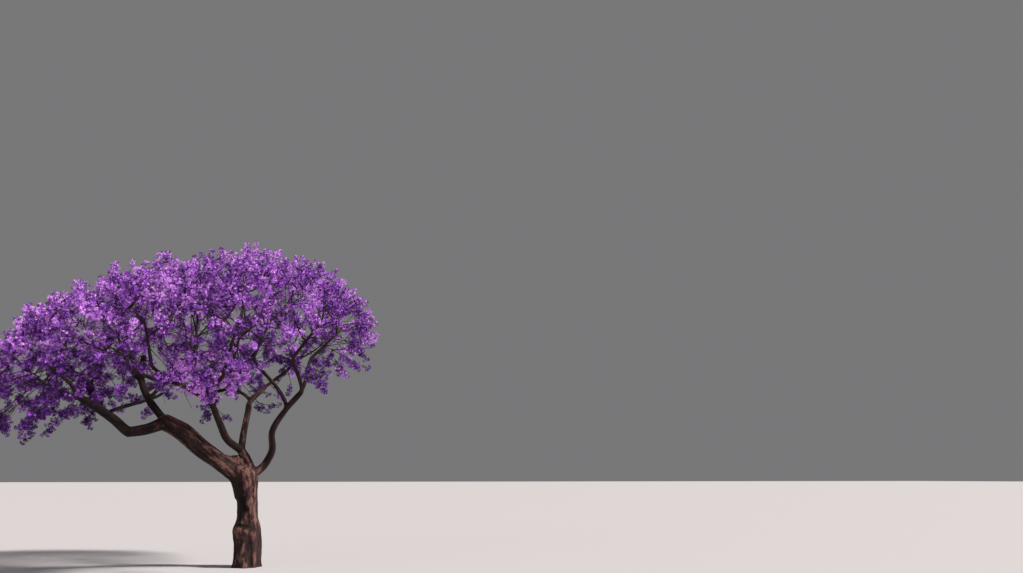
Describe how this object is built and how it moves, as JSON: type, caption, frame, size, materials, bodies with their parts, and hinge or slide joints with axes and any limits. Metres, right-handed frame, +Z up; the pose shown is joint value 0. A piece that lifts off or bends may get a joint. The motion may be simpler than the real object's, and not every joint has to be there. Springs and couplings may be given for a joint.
{
  "type": "jacaranda tree in bloom",
  "caption": "Broad tree in full violet bloom: a stout leaning trunk that forks low, crooked boughs and a wide shallow crown of blossom on forking twigs.",
  "frame": {"origin": "middle of the flat cut under the trunk, at ground level", "axes": "+Z up along the trunk; +X to the right in the usual view of the tree, so the heavy bough leans towards -X; +Y away from the viewer"},
  "size_m": [9.073, 8.5039, 8.0763],
  "materials": {
    "bark": "rough furrowed grey-brown bark, matt",
    "blossom": "soft violet trumpet flowers in sprays on dark twigs, matt"
  },
  "bodies": {
    "root": {"blossom_back_left": "blossom", "blossom_back_right": "blossom", "blossom_front_left": "blossom", "blossom_front_right": "blossom", "blossom_inner_back": "blossom", "blossom_inner_front_left": "blossom", "blossom_inner_front_right": "blossom", "blossom_inner_left": "blossom", "blossom_inner_right": "blossom", "blossom_left": "blossom", "blossom_left_back": "blossom", "blossom_left_front": "blossom", "blossom_right": "blossom", "blossom_right_back": "blossom", "blossom_right_front": "blossom", "blossom_top": "blossom", "bough_back": "bark", "bough_front": "bark", "bough_left": "bark", "bough_left_back": "bark", "bough_left_elbow": "bark", "bough_left_outer": "bark", "bough_left_rise": "bark", "bough_middle": "bark", "bough_right": "bark", "bough_to_back_left": "bark", "bough_to_back_right": "bark", "bough_to_front_left": "bark", "bough_to_front_right": "bark", "bough_to_inner_back": "bark", "bough_to_inner_front_left": "bark", "bough_to_inner_front_right": "bark", "bough_to_inner_left": "bark", "bough_to_inner_right": "bark", "bough_to_left": "bark", "bough_to_left_back": "bark", "bough_to_left_front": "bark", "bough_to_right": "bark", "bough_to_right_back": "bark", "bough_to_right_front": "bark", "bough_to_top": "bark", "trunk": "bark"}
  },
  "joints": []
}
